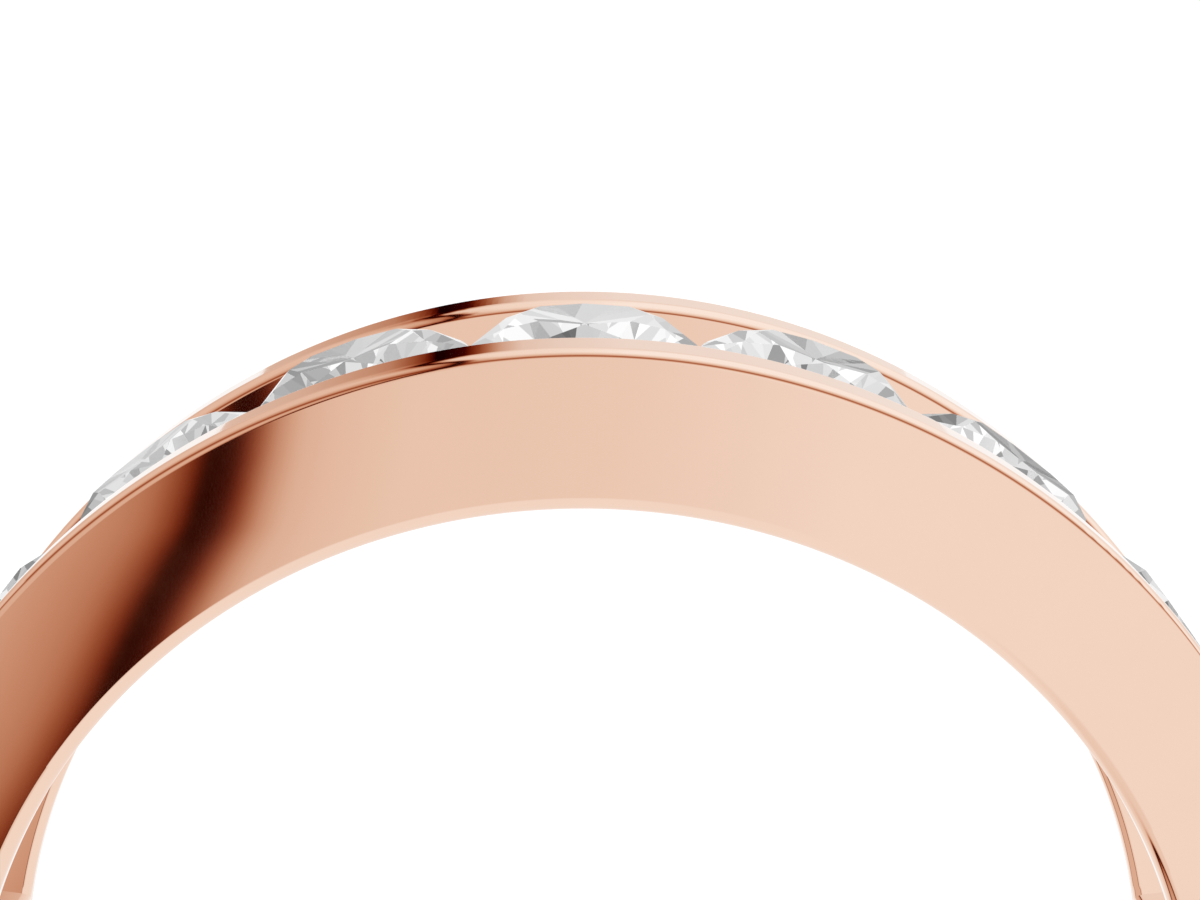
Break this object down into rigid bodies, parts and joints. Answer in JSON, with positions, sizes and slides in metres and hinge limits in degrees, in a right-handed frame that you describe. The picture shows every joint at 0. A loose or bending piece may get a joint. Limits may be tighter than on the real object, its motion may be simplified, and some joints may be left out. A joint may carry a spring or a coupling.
{
  "type": "wedding band",
  "caption": "Channel-set half-eternity wedding band: a polished rose-gold ring, wider and thicker at the top, with round brilliant stones set in a channel.",
  "frame": {"origin": "centre of the finger bore, halfway between the two side faces", "axes": "+Y along the finger bore; +Z from the bore's centre through the middle stone; +X to the right when looking along +Y"},
  "size_m": [0.0198, 0.0048, 0.0199],
  "materials": {
    "rose_gold": "polished",
    "diamond": "polished, cut as round brilliants"
  },
  "bodies": {
    "root": {"band": "rose_gold", "stone_1": "diamond", "stone_2": "diamond", "stone_3": "diamond", "stone_4": "diamond", "stone_5": "diamond", "stone_6": "diamond", "stone_7": "diamond", "stone_8": "diamond", "stone_9": "diamond"}
  },
  "joints": []
}
